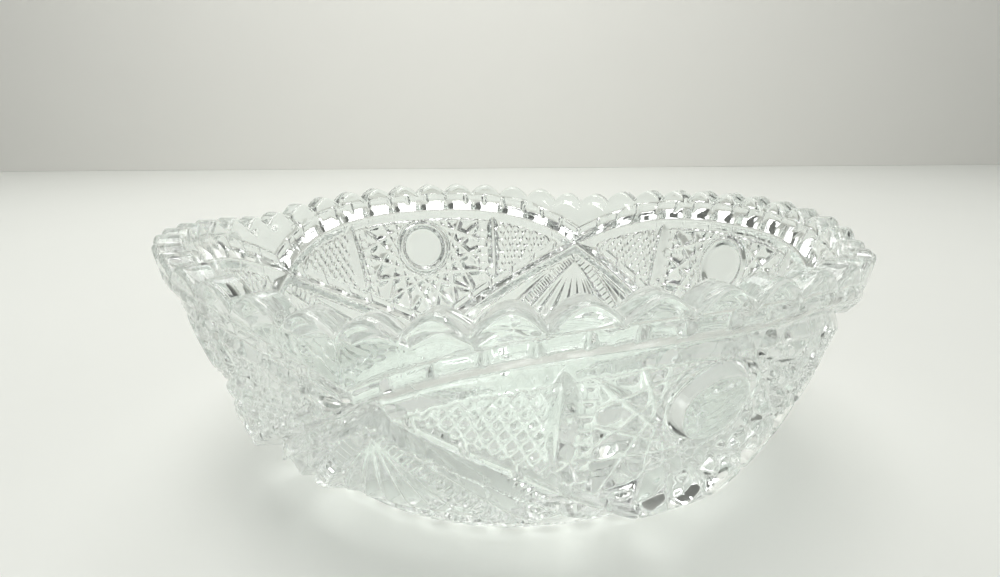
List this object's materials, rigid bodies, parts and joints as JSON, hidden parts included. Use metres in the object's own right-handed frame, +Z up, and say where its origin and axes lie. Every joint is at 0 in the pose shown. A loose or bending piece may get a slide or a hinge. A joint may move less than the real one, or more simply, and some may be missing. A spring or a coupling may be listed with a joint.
{
  "type": "punch bowl",
  "caption": "Small round pressed-glass serving bowl with a scalloped rim and an arch, hobstar and fan pattern on a flat round foot.",
  "frame": {"origin": "centre of the foot's underside, on the surface that the bowl stands on", "axes": "+Z up along the bowl's axis, -Y towards the middle of panel 1, +X towards the middle of panel 2"},
  "size_m": [0.1398, 0.1398, 0.05],
  "materials": {
    "clear_glass": "clear pressed glass, fire-polished smooth, faint grey-green tint",
    "pattern_glass": "clear pressed glass with crisp moulded facets, slightly rounded edges, faint grey-green tint"
  },
  "bodies": {
    "root": {"inner_bowl": "clear_glass", "foot": "pattern_glass", "rim_section_1": "clear_glass", "rim_section_2": "clear_glass", "rim_section_3": "clear_glass", "rim_section_4": "clear_glass", "arch_rib_1": "pattern_glass", "arch_rib_2": "pattern_glass", "arch_rib_3": "pattern_glass", "arch_rib_4": "pattern_glass", "vee_rib_1": "pattern_glass", "vee_rib_2": "pattern_glass", "vee_rib_3": "pattern_glass", "vee_rib_4": "pattern_glass", "hobstar_1": "pattern_glass", "hobstar_2": "pattern_glass", "hobstar_3": "pattern_glass", "hobstar_4": "pattern_glass", "button_1": "pattern_glass", "button_2": "pattern_glass", "button_3": "pattern_glass", "button_4": "pattern_glass", "hobnails_1": "pattern_glass", "hobnails_2": "pattern_glass", "hobnails_3": "pattern_glass", "hobnails_4": "pattern_glass", "ladders_1": "pattern_glass", "ladders_2": "pattern_glass", "ladders_3": "pattern_glass", "ladders_4": "pattern_glass", "fan_1": "pattern_glass", "fan_2": "pattern_glass", "fan_3": "pattern_glass", "fan_4": "pattern_glass"}
  },
  "joints": []
}
